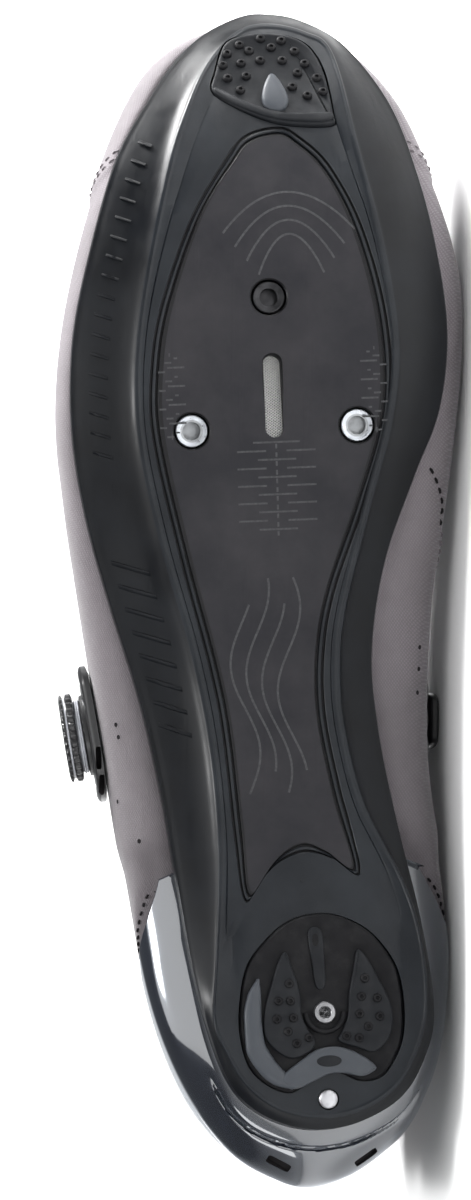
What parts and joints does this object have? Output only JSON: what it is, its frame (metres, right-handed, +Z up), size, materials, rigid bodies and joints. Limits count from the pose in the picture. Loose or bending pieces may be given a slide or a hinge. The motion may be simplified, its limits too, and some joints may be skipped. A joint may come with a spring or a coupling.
{
  "type": "cycling shoe",
  "caption": "Right road cycling shoe with a stiff composite sole, threaded cleat inserts, glossy heel cup, soft upper, strap and dial closure, lying on its medial side.",
  "frame": {"origin": "middle of the bounding box's floor, on the surface the shoe lies on", "axes": "+X from heel to toe, -Y the way the sole's underside faces, +Y towards the collar, +Z up, which is the shoe's lateral side"},
  "size_m": [0.2776, 0.122, 0.0956],
  "materials": {
    "outsole_composite": "satin moulded composite",
    "upper_microfibre": "matt synthetic leather",
    "insole_foam": "cloth over foam",
    "tongue_fabric": "padded mesh",
    "heel_cup_gloss": "glossy",
    "tread_rubber": "matt",
    "fastener_steel": "bright",
    "blackened_steel": "blackened",
    "vent_mesh": "matt mesh",
    "strap_microfibre": "matt synthetic leather",
    "dial_plastic": "satin",
    "dial_ring_plastic": "satin"
  },
  "bodies": {
    "root": {"outsole": "outsole_composite", "upper": "upper_microfibre", "insole": "insole_foam", "tongue": "tongue_fabric", "heel_cup": "heel_cup_gloss", "heel_tread": "tread_rubber", "toe_tread": "tread_rubber", "heel_screw": "fastener_steel", "heel_rivet": "fastener_steel", "vent_screen": "vent_mesh", "cleat_nut_front": "blackened_steel", "cleat_nut_rear_lateral": "fastener_steel", "cleat_nut_rear_medial": "fastener_steel", "instep_strap": "strap_microfibre", "forefoot_strap": "strap_microfibre", "strap_anchor": "dial_plastic", "dial_base": "dial_plastic", "dial_ring": "dial_ring_plastic", "dial_knob": "dial_plastic"}
  },
  "joints": []
}
